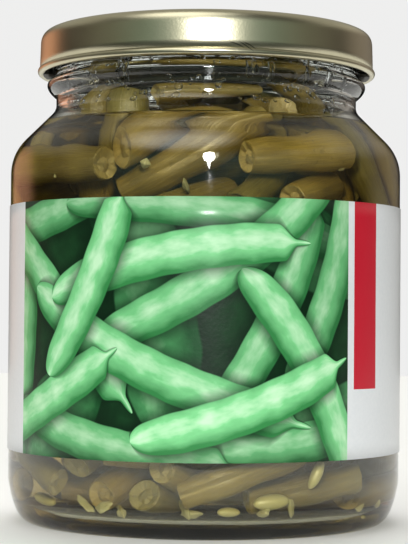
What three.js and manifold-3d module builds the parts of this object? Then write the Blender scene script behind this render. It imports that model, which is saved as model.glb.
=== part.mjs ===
// Sealed glass jar of cut green beans in brine, with a twist-off metal lid and a paper label all round.
// Millimetres, +Z up. The origin is the middle of the ring that the jar stands on, and the label's
// picture faces -Y. Outlines are drawn as (radius, height) and turned about the Z axis.

import * as THREE from 'three';
import { mergeVertices } from 'three/addons/utils/BufferGeometryUtils.js';
import Module from 'manifold-3d';

const wasm = await Module();
wasm.setup();

// Driving dimensions
const ROUND_SIDES = 40;
const GAP = 0.3;
const SMALLEST_FEATURE = 0.15;

const BODY_RADIUS = 40.0;
const WALL = 2.3;
const FOOT_INNER_RADIUS = 33.0;
const FOOT_OUTER_RADIUS = 36.2;
const PUSH_UP = 1.6;
const PUSH_UP_FLAT_RADIUS = 20;
const PUSH_UP_CORNER_RADIUS = 29;
const HEEL_HEIGHT = 8.6;
const HEEL_LEAN = 1.1;
const HEEL_CORNER_HEIGHT = 1;
const BASE_THICKNESS = 1.9;
const FLOOR_RADIUS = 29;
const FLOOR_SAG = 0.5;
const INNER_HEEL_HEIGHT = 8.4;
const INNER_HEEL_LEAN = 1.0;
const SHOULDER_HEIGHT = 70.2;
const SHOULDER_ROUNDING = 10;
const NECK_RADIUS = 30.9;
const NECK_HEIGHT = 84.6;
const NECK_ROUNDING = 1;
const BORE_ROUNDING = 1.6;
const BEAD_RADIUS = 32.8;
const BEAD_BOTTOM = 86.2;
const BEAD_MIDDLE = 88.8;
const BEAD_TOP = 90.4;
const FINISH_RADIUS = 31.2;
const FINISH_TOP = 98.0;
const LIP_ROUNDING = 1;
const INNER_LIP_ROUNDING = 0.8;

const LUG_COUNT = 4;
const LUG_WIDTH_DEG = 15;
const LUG_INNER_RADIUS = 31.75;
const LUG_HEIGHT = 1.0;
const THREAD_LEAD = 6;
const THREAD_DEPTH = 1.3;
const THREAD_HEIGHT = 1.4;
const THREAD_ROOT = 0.6;
const THREAD_TAPER = 0.35;
const THREAD_SPAN_DEG = 68;
const THREAD_STEPS = 8;

const LID_TOP = 99.8;
const LID_RADIUS = 34.2;
const LID_BOTTOM = 90.8;
const LID_SHEET = 0.35;
const LID_ROUNDING = 2.8;
const SKIRT_FLARE = 0.15;
const CURL_RADIUS = 0.72;
const CURL_SIDES = 6;
const LUG_OVER_EDGE = 0.2;
const LUG_SUNK = 0.1;
const PANEL_DROP = 1.3;
const PANEL_RADIUS = 27.4;
const PANEL_WALL_LEAN = 1.2;
const PANEL_STEP = 0.3;
const PANEL_STEP_INNER = 3.2;
const PANEL_STEP_OUTER = 2.4;
const BUTTON_RADIUS = 11;
const BUTTON_WALL_LEAN = 2.2;
const BUTTON_DROP = 0.5;

const LINER_INNER_RADIUS = 29.4;
const LINER_OUTER_RADIUS = 32.4;
const LINER_HEIGHT = 0.8;
const LINER_OUTER_ROUNDING = 0.5;
const LINER_INNER_ROUNDING = 0.3;

const LABEL_BOTTOM = 14.6;
const LABEL_TOP = 63.7;
const LABEL_PAPER = 0.2;
const LABEL_OFF_GLASS = 0.2;
const LABEL_OVERLAP_SIDES = 2;

const FILL_HEIGHT = 78.6;

const BEAN_SIDES = 8;
const BEAN_STATIONS = 4;
const BEAN_FLATNESS = 0.92;
const BEAN_END_WIDTH = 0.93;
const CAVITY_SIDES = 5;
const SPOT_RADIUS = 1.6;
const BEND_RADII = [34, 90];
const CUT_SLANTS = [-0.35, 0.35];
const SWELLS = [0.95, 1];
const BACK_LENGTHS = [23, 34];
const BACK_THICKNESSES = [6.6, 8.2];
const BACK_SHIFT_DEG = 5;
const BACK_LIFT = 1.5;
const BACK_INWARD_DEG = 14;

const SEED_OF_DRAWS = 20531;
const SETTLE_STEPS = 320;
const SETTLE_GAP = 0.4;
const HOLD_STEPS = 200;
const FRONT_HOLD = 0.14;
const BALL_SPACING = 0.8;
const BALL_INSET = 0.45;

const BRINE_COLOUR = 0x9a8a3c;
const GLASS_COLOUR = 0xdfe8e4;
const LID_COLOUR = 0xb7a878;
const LINER_COLOUR = 0xd9d6cc;
const PAPER_COLOUR = 0x6fae72;
const BEAN_COLOURS = [0x8a7c34, 0x7c7130, 0x968641, 0x867a3a];
const SEED_COLOUR = 0xcdbb74;

// Outlines
const at = (radius, height) => new THREE.Vector2(radius, height);

function bend(from, corner, to, steps) {
  return new THREE.QuadraticBezierCurve(from, corner, to).getPoints(steps);
}

// The outline moved sideways to its left by a distance, with points on the axis kept there.
function parallel(outline, distance) {
  return outline.map((point, i) => {
    const before = outline[Math.max(i - 1, 0)];
    const after = outline[Math.min(i + 1, outline.length - 1)];
    const inward = point.clone().sub(before).normalize();
    const outward = after.clone().sub(point).normalize();
    const middle = inward.clone().add(outward).normalize();
    const leadsIn = inward.lengthSq() > 0 ? inward : outward;
    const stretch = 1 / Math.max(middle.dot(leadsIn), 0.5);
    const moved = at(-middle.y, middle.x).multiplyScalar(distance * stretch).add(point);
    return point.x === 0 ? at(0, point.y + distance) : moved;
  });
}

function lathe(outline) {
  return new THREE.LatheGeometry(outline, ROUND_SIDES).rotateX(Math.PI / 2);
}

// Closed solids
function solid(geometry) {
  const bare = geometry.clone();
  bare.deleteAttribute('normal');
  bare.deleteAttribute('uv');
  const merged = mergeVertices(bare, 1e-4);
  const corners = merged.index.array;
  const kept = [];
  for (let i = 0; i < corners.length; i += 3) {
    const [a, b, c] = corners.slice(i, i + 3);
    if (a !== b && b !== c && c !== a) {
      kept.push(a, b, c);
    }
  }
  const made = asManifold(merged.attributes.position.array, kept);
  return made.volume() > 0 ? made : asManifold(merged.attributes.position.array, kept.reverse());
}

function asManifold(vertProperties, corners) {
  const triVerts = Uint32Array.from(corners);
  return new wasm.Manifold(new wasm.Mesh({ numProp: 3, vertProperties, triVerts }));
}

function geometryOf(body) {
  const mesh = body.getMesh();
  const geometry = new THREE.BufferGeometry();
  geometry.setAttribute('position', new THREE.BufferAttribute(mesh.vertProperties, 3));
  geometry.setIndex(new THREE.BufferAttribute(mesh.triVerts, 1));
  return geometry;
}

// A closed skin through a row of rings with the same number of points, flat at both ends.
function loft(rings) {
  const sides = rings[0].length;
  const faces = [];
  for (let i = 0; i < rings.length - 1; i += 1) {
    for (let j = 0; j < sides; j += 1) {
      const here = i * sides + j;
      const next = i * sides + ((j + 1) % sides);
      faces.push(here, next, next + sides, here, next + sides, here + sides);
    }
  }
  const last = (rings.length - 1) * sides;
  for (let j = 1; j < sides - 1; j += 1) {
    faces.push(0, j + 1, j, last, last + j, last + j + 1);
  }
  const geometry = new THREE.BufferGeometry().setFromPoints(rings.flat());
  geometry.setIndex(faces);
  return geometry;
}

// A point at an angle in degrees round the jar, counted from the front (-Y) towards +X.
function round(angle, radius, height) {
  const turn = THREE.MathUtils.degToRad(angle);
  return new THREE.Vector3(radius * Math.sin(turn), -radius * Math.cos(turn), height);
}

// A bar of rectangular section that runs round the jar from one angle to another and climbs as it goes.
function roundBar({ from, to, steps, inner, outer, bottom, height, lead, taper = 0 }) {
  const rings = [];
  for (let i = 0; i <= steps; i += 1) {
    const angle = from + ((to - from) * i) / steps;
    const low = bottom + (lead * (angle - from)) / 360;
    rings.push([
      round(angle, inner, low),
      round(angle, outer, low + taper),
      round(angle, outer, low + height - taper),
      round(angle, inner, low + height),
    ]);
  }
  return loft(rings);
}

// Glass jar: a blown body with a pushed-up base, round shoulders, a bead under the lid and thread ridges.
const shoulderEnd = at(
  BODY_RADIUS - SHOULDER_ROUNDING * (1 - Math.SQRT1_2),
  SHOULDER_HEIGHT + SHOULDER_ROUNDING * Math.SQRT1_2,
);
const shoulderCorner = SHOULDER_HEIGHT + SHOULDER_ROUNDING * Math.tan(Math.PI / 8);
const neckCorner = shoulderEnd.y + shoulderEnd.x - NECK_RADIUS;

function outerGlass() {
  const pushUpCorner = at(PUSH_UP_CORNER_RADIUS, PUSH_UP);
  const heelTop = at(BODY_RADIUS, HEEL_HEIGHT);
  const neckStart = at(NECK_RADIUS + NECK_ROUNDING, neckCorner - NECK_ROUNDING);
  const beadCorner = 2 * BEAD_RADIUS - (NECK_RADIUS + FINISH_RADIUS) / 2;
  const lipStart = at(FINISH_RADIUS, FINISH_TOP - LIP_ROUNDING);
  return [
    at(0, PUSH_UP),
    ...bend(at(PUSH_UP_FLAT_RADIUS, PUSH_UP), pushUpCorner, at(FOOT_INNER_RADIUS, 0), 2),
    ...bend(at(FOOT_OUTER_RADIUS, 0), at(BODY_RADIUS - HEEL_LEAN, HEEL_CORNER_HEIGHT), heelTop, 4),
    ...bend(at(BODY_RADIUS, SHOULDER_HEIGHT), at(BODY_RADIUS, shoulderCorner), shoulderEnd, 3),
    ...bend(neckStart, at(NECK_RADIUS, neckCorner), at(NECK_RADIUS, NECK_HEIGHT), 2),
    ...bend(at(NECK_RADIUS, BEAD_BOTTOM), at(beadCorner, BEAD_MIDDLE), at(FINISH_RADIUS, BEAD_TOP), 4),
    ...bend(lipStart, at(FINISH_RADIUS, FINISH_TOP), at(FINISH_RADIUS - LIP_ROUNDING, FINISH_TOP), 2),
  ];
}

// The inside of the glass, from the middle of its base up to the mouth.
function innerGlass() {
  const inner = BODY_RADIUS - WALL;
  const floor = PUSH_UP + BASE_THICKNESS;
  const slopeTop = shoulderEnd.clone().addScalar(-WALL * Math.SQRT1_2);
  const innerShoulderCorner = shoulderCorner - WALL * Math.tan(Math.PI / 8);
  const bore = NECK_RADIUS - WALL;
  const boreCorner = slopeTop.x + slopeTop.y - bore;
  const boreStart = at(bore + BORE_ROUNDING, boreCorner - BORE_ROUNDING);
  const lipStart = at(bore, FINISH_TOP - INNER_LIP_ROUNDING);
  return [
    at(0, floor),
    ...bend(
      at(FLOOR_RADIUS, floor - FLOOR_SAG),
      at(inner - INNER_HEEL_LEAN, floor - FLOOR_SAG),
      at(inner, INNER_HEEL_HEIGHT),
      3,
    ),
    ...bend(at(inner, SHOULDER_HEIGHT), at(inner, innerShoulderCorner), slopeTop, 3),
    ...bend(boreStart, at(bore, boreCorner), at(bore, boreCorner + BORE_ROUNDING), 2),
    ...bend(lipStart, at(bore, FINISH_TOP), at(bore + INNER_LIP_ROUNDING, FINISH_TOP), 2),
  ];
}

const lugTop = LID_BOTTOM + LUG_OVER_EDGE + LUG_HEIGHT;

function glassJar() {
  let jar = solid(lathe([...outerGlass(), ...innerGlass().reverse()]));
  for (let i = 0; i < LUG_COUNT; i += 1) {
    const start = (i * 360) / LUG_COUNT - LUG_WIDTH_DEG / 2;
    const ridge = roundBar({
      from: start,
      to: start + THREAD_SPAN_DEG,
      steps: THREAD_STEPS,
      inner: FINISH_RADIUS - THREAD_ROOT,
      outer: FINISH_RADIUS + THREAD_DEPTH,
      bottom: lugTop + GAP,
      height: THREAD_HEIGHT,
      lead: THREAD_LEAD,
      taper: THREAD_TAPER,
    });
    jar = jar.add(solid(ridge));
  }
  return geometryOf(jar);
}

// Twist-off lid: pressed tinplate with a sunk panel, a vacuum button, a curled edge and four lugs.
function lidSheet() {
  const panel = LID_TOP - PANEL_DROP;
  const rimCorner = at(LID_RADIUS, LID_TOP);
  const outside = [
    at(0, panel - BUTTON_DROP),
    at(BUTTON_RADIUS - BUTTON_WALL_LEAN, panel - BUTTON_DROP),
    at(BUTTON_RADIUS, panel),
    at(PANEL_RADIUS - PANEL_STEP_INNER, panel),
    at(PANEL_RADIUS - PANEL_STEP_OUTER, panel + PANEL_STEP),
    at(PANEL_RADIUS, panel + PANEL_STEP),
    at(PANEL_RADIUS + PANEL_WALL_LEAN, LID_TOP),
    ...bend(at(LID_RADIUS - LID_ROUNDING, LID_TOP), rimCorner, at(LID_RADIUS, LID_TOP - LID_ROUNDING), 3),
    at(LID_RADIUS + SKIRT_FLARE, LID_BOTTOM + CURL_RADIUS),
  ];
  return lathe([...outside, ...parallel(outside, -LID_SHEET).reverse()]);
}

function lidCurl() {
  const middle = at(LID_RADIUS - SKIRT_FLARE, LID_BOTTOM + CURL_RADIUS);
  const section = [];
  for (let i = 0; i < CURL_SIDES; i += 1) {
    const turn = (i * 2 * Math.PI) / CURL_SIDES + Math.PI / 2;
    section.push(at(Math.cos(turn), Math.sin(turn)).multiplyScalar(CURL_RADIUS).add(middle));
  }
  return lathe([...section, section[0]]);
}

function lid() {
  let shell = solid(lidSheet()).add(solid(lidCurl()));
  for (let i = 0; i < LUG_COUNT; i += 1) {
    const middle = (i * 360) / LUG_COUNT;
    const lug = roundBar({
      from: middle - LUG_WIDTH_DEG / 2,
      to: middle + LUG_WIDTH_DEG / 2,
      steps: 2,
      inner: LUG_INNER_RADIUS,
      outer: LID_RADIUS - LUG_SUNK,
      bottom: lugTop - LUG_HEIGHT,
      height: LUG_HEIGHT,
      lead: 0,
    });
    shell = shell.add(solid(lug));
  }
  return geometryOf(shell);
}

// Sealing ring: soft compound under the lid's rim, just over the glass.
function liner() {
  const bottom = FINISH_TOP + GAP;
  const top = bottom + LINER_HEIGHT;
  const section = [
    at(LINER_INNER_RADIUS, bottom),
    at(LINER_OUTER_RADIUS, bottom),
    at(LINER_OUTER_RADIUS, top - LINER_INNER_ROUNDING),
    at(LINER_OUTER_RADIUS - LINER_OUTER_ROUNDING, top),
    at(LINER_INNER_RADIUS + LINER_INNER_ROUNDING, top),
    at(LINER_INNER_RADIUS, bottom),
  ];
  return geometryOf(solid(lathe(section)));
}

// Paper label: one strip that starts at the back, goes all the way round and laps over its own start.
function label() {
  const facet = 360 / ROUND_SIDES;
  const inner = BODY_RADIUS + LABEL_OFF_GLASS;
  const rings = [];
  for (let i = 0; i <= ROUND_SIDES + LABEL_OVERLAP_SIDES; i += 1) {
    const lap = i >= ROUND_SIDES - 1 ? LABEL_PAPER + LABEL_OFF_GLASS : 0;
    const angle = 180 + i * facet;
    rings.push([
      round(angle, inner + lap, LABEL_BOTTOM),
      round(angle, inner + lap + LABEL_PAPER, LABEL_BOTTOM),
      round(angle, inner + lap + LABEL_PAPER, LABEL_TOP),
      round(angle, inner + lap, LABEL_TOP),
    ]);
  }
  return geometryOf(solid(loft(rings)));
}

// Bean pieces that show at the front. around: degrees from the middle of the label, to the right.
// slope: degrees that the piece climbs to the right. inward: degrees that it points into the jar.
const UPPER_FRONT = [
  { around: -2, height: 75.0, slope: 29, inward: -12, length: 29, thick: 7.2 },
  { around: 31, height: 74.2, slope: 2, inward: 0, length: 23, thick: 6.6 },
  { around: 29, height: 81.0, slope: 0, inward: 80, length: 13, thick: 6.8 },
  { around: -51, height: 69.6, slope: -5, inward: 0, length: 28, thick: 7.0 },
  { around: -37, height: 79.0, slope: 97, inward: 14, length: 16, thick: 8.2 },
  { around: 38, height: 67.2, slope: 14, inward: 24, length: 16, thick: 7.2 },
  { around: 17, height: 66.8, slope: 30, inward: 40, length: 15, thick: 6.8 },
  { around: -3, height: 65.4, slope: 6, inward: 30, length: 16, thick: 7.0 },
  { around: 60, height: 72.6, slope: -60, inward: 0, length: 24, thick: 7.0 },
  { around: 56, height: 82.4, slope: -34, inward: 0, length: 22, thick: 7.2 },
  { around: -56, height: 82.4, slope: 62, inward: 8, length: 20, thick: 7.2 },
  { around: 84, height: 70.2, slope: -74, inward: 0, length: 25, thick: 7.2 },
  { around: -2, height: 85.4, slope: 6, inward: 20, length: 21, thick: 7.4 },
];
const LOWER_FRONT = [
  { around: 12, height: 9.8, slope: 18, inward: 0, length: 24, thick: 7.0 },
  { around: 38, height: 7.0, slope: -2, inward: -30, length: 22, thick: 6.8 },
  { around: -29, height: 7.6, slope: 90, inward: 64, length: 13, thick: 7.0 },
  { around: -16, height: 7.2, slope: 0, inward: 80, length: 13, thick: 7.2 },
  { around: -45, height: 7.4, slope: -10, inward: 40, length: 16, thick: 7.4 },
  { around: -66, height: 11.4, slope: -34, inward: 0, length: 22, thick: 7.0 },
  { around: -38, height: 14.4, slope: 40, inward: 62, length: 15, thick: 6.6 },
  { around: -16, height: 15.0, slope: 4, inward: 20, length: 20, thick: 6.8 },
  { around: 68, height: 8.0, slope: 4, inward: 12, length: 18, thick: 6.8 },
];
const LOOSE_SEEDS = [
  { around: 21, height: 5.4, slope: 6, inward: 0, length: 8.0, thick: 3.8 },
  { around: 33, height: 12.0, slope: 84, inward: 0, length: 7.0, thick: 3.0 },
  { around: -57, height: 5.6, slope: -30, inward: 0, length: 6.6, thick: 3.2 },
  { around: 9, height: 4.6, slope: -4, inward: 0, length: 5.0, thick: 2.6 },
];

// The bands behind and between them, by rule: how many, from which angle to which, and how high.
const BACK_BANDS = [
  { name: 'upper', count: 9, from: 96, to: 276, heights: [67.5, 75.5], wall: 1, slopes: 50 },
  { name: 'lower', count: 8, from: 84, to: 282, heights: [9.5, 15], wall: 1, slopes: 30 },
  { name: 'middle', count: 9, from: 0, to: 320, heights: [27, 39, 51], wall: 1, slopes: 75 },
  { name: 'core', count: 3, from: 20, to: 260, heights: [22, 37, 52], wall: 0.35, slopes: 80 },
];

const draw = seededDraws(SEED_OF_DRAWS);

function seededDraws(seed) {
  let state = seed;
  return (low, high) => {
    state = (state * 1664525 + 1013904223) % 4294967296;
    return low + ((high - low) * state) / 4294967296;
  };
}

function backPieces({ name, count, from, to, heights, wall, slopes }) {
  return Array.from({ length: count }, (_, i) => ({
    name,
    around: from + ((to - from) * i) / (count - 1) + draw(-BACK_SHIFT_DEG, BACK_SHIFT_DEG),
    height: heights[i % heights.length] + draw(-BACK_LIFT, BACK_LIFT),
    slope: draw(-slopes, slopes),
    inward: draw(0, BACK_INWARD_DEG),
    length: draw(...BACK_LENGTHS),
    thick: draw(...BACK_THICKNESSES),
    wall,
  }));
}

const inside = innerGlass();

// How far inside the glass a point (radius, height) is, and which way leads off the nearest wall.
function offWall(radius, height) {
  let nearest = { distance: Infinity };
  for (let i = 0; i < inside.length - 1; i += 1) {
    const run = inside[i + 1].clone().sub(inside[i]);
    const from = at(radius, height).sub(inside[i]);
    const share = THREE.MathUtils.clamp(from.dot(run) / run.lengthSq(), 0, 1);
    const away = from.addScaledVector(run, -share);
    const side = Math.sign(run.x * away.y - run.y * away.x) || 1;
    if (away.length() < nearest.distance) {
      nearest = { distance: away.length(), side, away: away.clone() };
    }
  }
  const leads = nearest.away.normalize().multiplyScalar(nearest.side);
  return { distance: nearest.distance * nearest.side, leads };
}

function wallRadius(height) {
  const above = inside.findIndex((point, i) => i > 1 && point.y > height);
  const [low, high] = [inside[above - 1], inside[above]];
  return THREE.MathUtils.lerp(low.x, high.x, (height - low.y) / (high.y - low.y));
}

// A piece as a stiff body: a middle, a turn, and a row of balls along its bent middle line.
function stiffPiece(row) {
  const outward = round(row.around, 1, 0);
  const sideways = round(row.around + 90, 1, 0);
  const slope = THREE.MathUtils.degToRad(row.slope);
  const inward = THREE.MathUtils.degToRad(row.inward);
  const along = sideways.multiplyScalar(Math.cos(slope)).setZ(Math.sin(slope));
  along.multiplyScalar(Math.cos(inward)).addScaledVector(outward, -Math.sin(inward)).normalize();
  const towards = outward.clone().negate().setZ(row.inward > 45 ? 1 : 0);
  const across = new THREE.Vector3().crossVectors(along, towards).normalize();
  const bent = new THREE.Vector3().crossVectors(across, along);
  const basis = new THREE.Matrix4().makeBasis(along, bent, across);
  const turn = new THREE.Quaternion().setFromRotationMatrix(basis);
  const reach = (row.length / 2) * Math.sin(inward) + (row.thick / 2) * Math.cos(inward) + GAP;
  const centre = outward.multiplyScalar((wallRadius(row.height) - reach) * (row.wall ?? 1)).setZ(row.height);
  return {
    ...row,
    turn,
    centre,
    home: { turn: turn.clone(), centre: centre.clone(), hold: row.wall ? 0 : FRONT_HOLD },
    bendRadius: draw(...BEND_RADII),
    cuts: [draw(...CUT_SLANTS), draw(...CUT_SLANTS)],
    swell: [draw(...SWELLS), draw(...SWELLS)],
  };
}

function middleLine(piece, station) {
  const turn = station / piece.bendRadius;
  const local = new THREE.Vector3(Math.sin(turn), 1 - Math.cos(turn), 0).multiplyScalar(piece.bendRadius);
  return local.applyQuaternion(piece.turn).add(piece.centre);
}

function balls(piece, index) {
  const radius = piece.thick / 2;
  const end = piece.length / 2 - BALL_INSET * radius;
  const count = Math.ceil((2 * end) / (BALL_SPACING * radius)) + 1;
  return Array.from({ length: count }, (_, i) => ({
    index,
    radius,
    place: middleLine(piece, -end + (2 * end * i) / (count - 1)),
  }));
}

// Pushes overlapping pieces apart and off the glass, a little at a time, until each has its gap. The front
// ones are drawn back to where they belong while the others still give way.
function settle(pieces) {
  for (let step = 0; step < SETTLE_STEPS; step += 1) {
    for (const { turn, centre, home } of step < HOLD_STEPS ? pieces : []) {
      turn.slerp(home.turn, home.hold);
      centre.lerp(home.centre, home.hold);
    }
    const moves = pieces.map(() => ({ shift: new THREE.Vector3(), twist: new THREE.Vector3(), count: 0 }));
    const push = (ball, way) => {
      const piece = pieces[ball.index];
      const arm = ball.place.clone().sub(piece.centre);
      const stiffness = arm.lengthSq() + piece.length ** 2 / 12;
      moves[ball.index].shift.add(way);
      moves[ball.index].twist.addScaledVector(arm.cross(way), 1 / stiffness);
      moves[ball.index].count += 1;
    };
    const all = pieces.flatMap(balls);
    all.forEach((ball, i) => {
      for (const other of all.slice(i + 1)) {
        const way = ball.place.clone().sub(other.place);
        const lack = ball.radius + other.radius + SETTLE_GAP - way.length();
        if (lack > 0 && other.index !== ball.index) {
          way.setLength(lack / 2);
          push(ball, way);
          push(other, way.clone().negate());
        }
      }
      const radius = Math.hypot(ball.place.x, ball.place.y);
      const wall = offWall(radius, ball.place.z);
      const lack = ball.radius + SETTLE_GAP - wall.distance;
      if (lack > 0) {
        const outward = round(THREE.MathUtils.radToDeg(Math.atan2(ball.place.x, -ball.place.y)), 1, 0);
        push(ball, outward.multiplyScalar(wall.leads.x).setZ(wall.leads.y).multiplyScalar(lack));
      }
    });
    pieces.forEach((piece, i) => {
      const { shift, twist, count } = moves[i];
      if (count > 0) {
        piece.centre.addScaledVector(shift, 1 / count);
        const angle = twist.length() / count;
        const spin = new THREE.Quaternion().setFromAxisAngle(twist.normalize(), angle);
        piece.turn.premultiply(spin).normalize();
      }
    });
  }
}

// A piece's skin: rings along its middle line, slightly oval, cut off at a slant at both ends. Grown, it is
// the plain cavity round the piece.
function pieceGeometry(piece, { grow = 0, sides = BEAN_SIDES } = {}) {
  const rings = [];
  const radius = (piece.thick / 2 + grow) / (grow > 0 ? Math.cos(Math.PI / sides) : 1);
  const flatness = grow > 0 ? 1 : BEAN_FLATNESS;
  const widths = grow > 0 ? [1, 1, 1, 1] : [BEAN_END_WIDTH, ...piece.swell, BEAN_END_WIDTH];
  for (let i = 0; i < BEAN_STATIONS; i += 1) {
    const share = i / (BEAN_STATIONS - 1) - 0.5;
    const cut = grow > 0 ? 0 : piece.cuts[Math.sign(share) > 0 ? 1 : 0] * (Math.abs(share) === 0.5 ? 1 : 0);
    const station = share * (piece.length + 2 * grow) - Math.sign(share) * Math.abs(cut) * radius;
    const middle = middleLine(piece, station);
    const turn = piece.turn.clone().multiply(
      new THREE.Quaternion().setFromAxisAngle(new THREE.Vector3(0, 0, 1), station / piece.bendRadius),
    );
    const ring = [];
    for (let j = 0; j < sides; j += 1) {
      const angle = (j * 2 * Math.PI) / sides;
      const up = radius * widths[i] * Math.cos(angle);
      const side = radius * widths[i] * Math.sin(angle) * flatness;
      ring.push(new THREE.Vector3(cut * up, up, side).applyQuaternion(turn).add(middle));
    }
    rings.push(ring);
  }
  return loft(rings);
}

const beans = [
  ...UPPER_FRONT.map((row) => ({ ...row, name: 'upper' })),
  ...LOWER_FRONT.map((row) => ({ ...row, name: 'lower' })),
  ...BACK_BANDS.flatMap(backPieces),
].map(stiffPiece);
const seeds = LOOSE_SEEDS.map((row) => stiffPiece({ ...row, name: 'seed' }));
settle([...beans, ...seeds]);

// The places where the pieces rest on each other, nearest first, until they hang together as one pile.
function restingSpots(pieces) {
  const rows = pieces.map(balls);
  const pairs = rows.flatMap((row, i) => rows.slice(i + 1).map((other) => nearestBalls(row, other)));
  pairs.sort((a, b) => a.distance - b.distance);
  const pile = pieces.map((_, i) => i);
  return pairs.filter(({ ball, other }) => {
    const [kept, joined] = [pile[ball.index], pile[other.index]];
    pile.forEach((number, i) => {
      pile[i] = number === joined ? kept : number;
    });
    return kept !== joined;
  });
}

function nearestBalls(row, others) {
  let nearest = { distance: Infinity };
  for (const ball of row) {
    for (const other of others) {
      const distance = ball.place.distanceTo(other.place) - ball.radius - other.radius;
      nearest = distance < nearest.distance ? { distance, ball, other } : nearest;
    }
  }
  return nearest;
}

function spotGeometry({ ball, other }) {
  const along = other.place.clone().sub(ball.place).normalize();
  const turn = new THREE.Quaternion().setFromUnitVectors(new THREE.Vector3(0, 0, 1), along);
  const ring = Array.from({ length: CAVITY_SIDES }, (_, i) => {
    const angle = (i * 2 * Math.PI) / CAVITY_SIDES;
    const spoke = new THREE.Vector3(Math.cos(angle), Math.sin(angle), 0);
    return spoke.multiplyScalar(SPOT_RADIUS).applyQuaternion(turn);
  });
  return loft([ball, other].map(({ place }) => ring.map((point) => point.clone().add(place))));
}

// Brine: what fills the jar up to its level around the pieces. None gets in where two pieces rest on
// each other, and loose scraps between them are dropped.
function brine() {
  const wet = parallel(inside.filter((point) => point.y < FILL_HEIGHT), GAP);
  const edge = wallRadius(FILL_HEIGHT) - GAP * Math.SQRT2;
  let liquid = solid(lathe([...wet, at(edge, FILL_HEIGHT), at(0, FILL_HEIGHT)]));
  const pieces = [...beans, ...seeds];
  for (const piece of pieces) {
    liquid = liquid.subtract(solid(pieceGeometry(piece, { grow: GAP, sides: CAVITY_SIDES })));
  }
  for (const spot of restingSpots(pieces)) {
    liquid = liquid.subtract(solid(spotGeometry(spot)));
  }
  const parts = liquid.decompose().sort((a, b) => b.volume() - a.volume());
  return geometryOf(parts[0].simplify(SMALLEST_FEATURE));
}

// The finished jar
function finish(color, roughness, metalness, opacity = 1) {
  return new THREE.MeshStandardMaterial({ color, roughness, metalness, opacity, transparent: opacity < 1 });
}

const jar = new THREE.Group();

function addPiece(name, geometry, material) {
  const mesh = new THREE.Mesh(geometry, material);
  mesh.name = name;
  jar.add(mesh);
}

addPiece('glass_jar', glassJar(), finish(GLASS_COLOUR, 0.05, 0, 0.35));
addPiece('brine', brine(), finish(BRINE_COLOUR, 0.05, 0, 0.5));
addPiece('lid_liner', liner(), finish(LINER_COLOUR, 0.6, 0));
addPiece('lid', lid(), finish(LID_COLOUR, 0.35, 0.9));
addPiece('label', label(), finish(PAPER_COLOUR, 0.4, 0));

const counts = {};
for (const bean of beans) {
  counts[bean.name] = (counts[bean.name] ?? 0) + 1;
  const colour = BEAN_COLOURS[counts[bean.name] % BEAN_COLOURS.length];
  const name = `bean_${bean.name}_${counts[bean.name]}`;
  addPiece(name, geometryOf(solid(pieceGeometry(bean))), finish(colour, 0.5, 0));
}
seeds.forEach((seed, i) => {
  addPiece(`seed_${i + 1}`, geometryOf(solid(pieceGeometry(seed))), finish(SEED_COLOUR, 0.5, 0));
});

export default jar;
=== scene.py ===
import math

import bmesh
import bpy
import numpy as np
from mathutils import Matrix, Vector


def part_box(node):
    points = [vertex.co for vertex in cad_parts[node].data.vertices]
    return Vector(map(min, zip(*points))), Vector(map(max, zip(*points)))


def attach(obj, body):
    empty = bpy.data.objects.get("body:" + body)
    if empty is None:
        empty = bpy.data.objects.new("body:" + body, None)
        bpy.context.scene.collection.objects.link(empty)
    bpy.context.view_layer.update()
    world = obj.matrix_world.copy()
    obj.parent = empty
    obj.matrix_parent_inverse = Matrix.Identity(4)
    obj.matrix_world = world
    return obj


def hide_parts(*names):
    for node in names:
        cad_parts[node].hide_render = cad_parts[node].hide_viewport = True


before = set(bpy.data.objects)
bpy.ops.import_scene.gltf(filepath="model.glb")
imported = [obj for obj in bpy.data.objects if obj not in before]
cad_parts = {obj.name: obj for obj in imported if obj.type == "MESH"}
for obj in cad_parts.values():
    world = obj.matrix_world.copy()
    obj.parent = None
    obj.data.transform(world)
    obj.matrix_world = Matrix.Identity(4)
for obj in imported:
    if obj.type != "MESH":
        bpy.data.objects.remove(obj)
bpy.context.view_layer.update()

# Camera
# Fitted to the edges of the photographed jar: a long lens a little below the middle of the jar, tipped up
# slightly and rolled by half a degree. The frame is 408 x 544, and 36 mm of sensor lie along its long side.
CAMERA_DISTANCE = 0.366
CAMERA_HEIGHT = 0.0416
CAMERA_ASIDE = -0.00016
CAMERA_PITCH = math.radians(1.43)
CAMERA_ROLL = math.radians(0.47)

camera_data = bpy.data.cameras.new("camera")
camera_data.sensor_width = 36
camera_data.lens = 1772 / 544 * 36
camera_data.clip_start = 0.01
camera = bpy.data.objects.new("camera", camera_data)
tipped = Matrix.Rotation(math.pi / 2 + CAMERA_PITCH, 4, "X") @ Matrix.Rotation(CAMERA_ROLL, 4, "Z")
camera.matrix_world = Matrix.Translation((CAMERA_ASIDE, -CAMERA_DISTANCE, CAMERA_HEIGHT)) @ tipped
bpy.context.scene.collection.objects.link(camera)
bpy.context.scene.camera = camera

# Studio
# A pale floor that ends just in front, in a white surround, and a tall soft light over the camera. The glass
# and the lid reflect a dim room: green-grey in front, a pale glow above, a warm one left, a grey one right.
FLOOR_REACH = 0.9
FLOOR_FRONT = -0.10
FLOOR_BELOW = 0.00005
PALE = (0.86, 0.86, 0.85)
WHITE_SURROUND = (0.86, 0.86, 0.855, 1)
ROOM_COLOURS = [
    (0.00, (0.012, 0.012, 0.012)),
    (0.34, (0.03, 0.026, 0.022)),
    (0.50, (0.12, 0.105, 0.08)),
    (0.72, (0.24, 0.25, 0.19)),
    (0.88, (0.22, 0.33, 0.27)),
    (1.00, (0.24, 0.35, 0.30)),
]
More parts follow.
